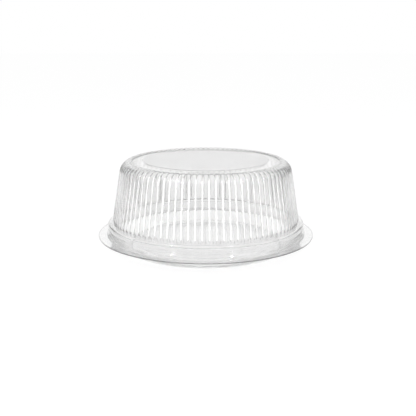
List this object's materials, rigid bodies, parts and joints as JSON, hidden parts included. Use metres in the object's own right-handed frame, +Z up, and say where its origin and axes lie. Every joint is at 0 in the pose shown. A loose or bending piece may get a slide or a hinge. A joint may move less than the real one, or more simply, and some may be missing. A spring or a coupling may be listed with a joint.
{
  "type": "cake container",
  "caption": "Round clear cake container: a fluted dome lid that lifts straight off a shallow flanged tray with a raised floor.",
  "frame": {"origin": "centre of the tray's foot ring, on the surface the container stands on", "axes": "+Z up through the middle of the dome, which is round about it; +X and +Y are level"},
  "size_m": [0.267, 0.267, 0.109],
  "materials": {
    "clear_lid_sheet": "clear, glossy formed sheet",
    "clear_tray_sheet": "clear, glossy formed sheet"
  },
  "bodies": {
    "tray": {"base": "clear_tray_sheet"},
    "cover": {"lid": "clear_lid_sheet"}
  },
  "joints": [
    {"name": "lid_lift", "type": "slide", "parent": "tray", "child": "cover", "axis": [0, 0, 1], "range_m": [0, 0.13]}
  ]
}
